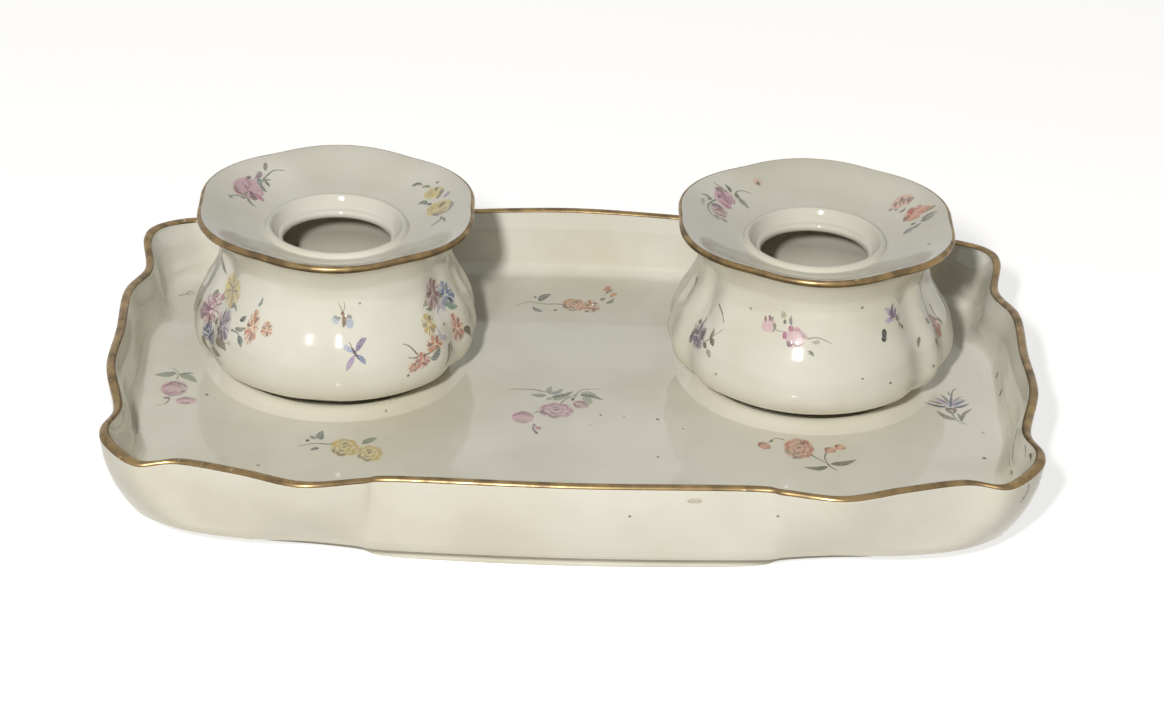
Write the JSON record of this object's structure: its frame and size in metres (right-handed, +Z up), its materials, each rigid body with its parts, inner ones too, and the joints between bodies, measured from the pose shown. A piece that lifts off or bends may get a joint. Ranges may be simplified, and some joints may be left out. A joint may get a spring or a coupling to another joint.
{
  "type": "desk inkstand",
  "caption": "Porcelain desk inkstand: a wavy-edged tray with a foot ring holds fluted ink pots with wide dished flanges, each in a raised ring socket and lifting straight out.",
  "frame": {"origin": "on the table, under the middle of the tray", "axes": "+X along the tray's long side, to the writer's right; +Y from the writer to the back, +Z up"},
  "size_m": [0.2504, 0.168, 0.0604],
  "materials": {
    "porcelain": "glossy ivory glaze",
    "gilding": "worn satin gilding"
  },
  "bodies": {
    "tray": {"tray": "porcelain", "tray_gilt_edge": "gilding"},
    "left_pot": {"left_pot": "porcelain", "left_pot_gilt_edge": "gilding"},
    "right_pot": {"right_pot": "porcelain", "right_pot_gilt_edge": "gilding"}
  },
  "joints": [
    {"name": "left_pot_lift", "type": "slide", "parent": "tray", "child": "left_pot", "axis": [0, 0, 1], "range_m": [0, 0.08]},
    {"name": "right_pot_lift", "type": "slide", "parent": "tray", "child": "right_pot", "axis": [0, 0, 1], "range_m": [0, 0.08]}
  ]
}
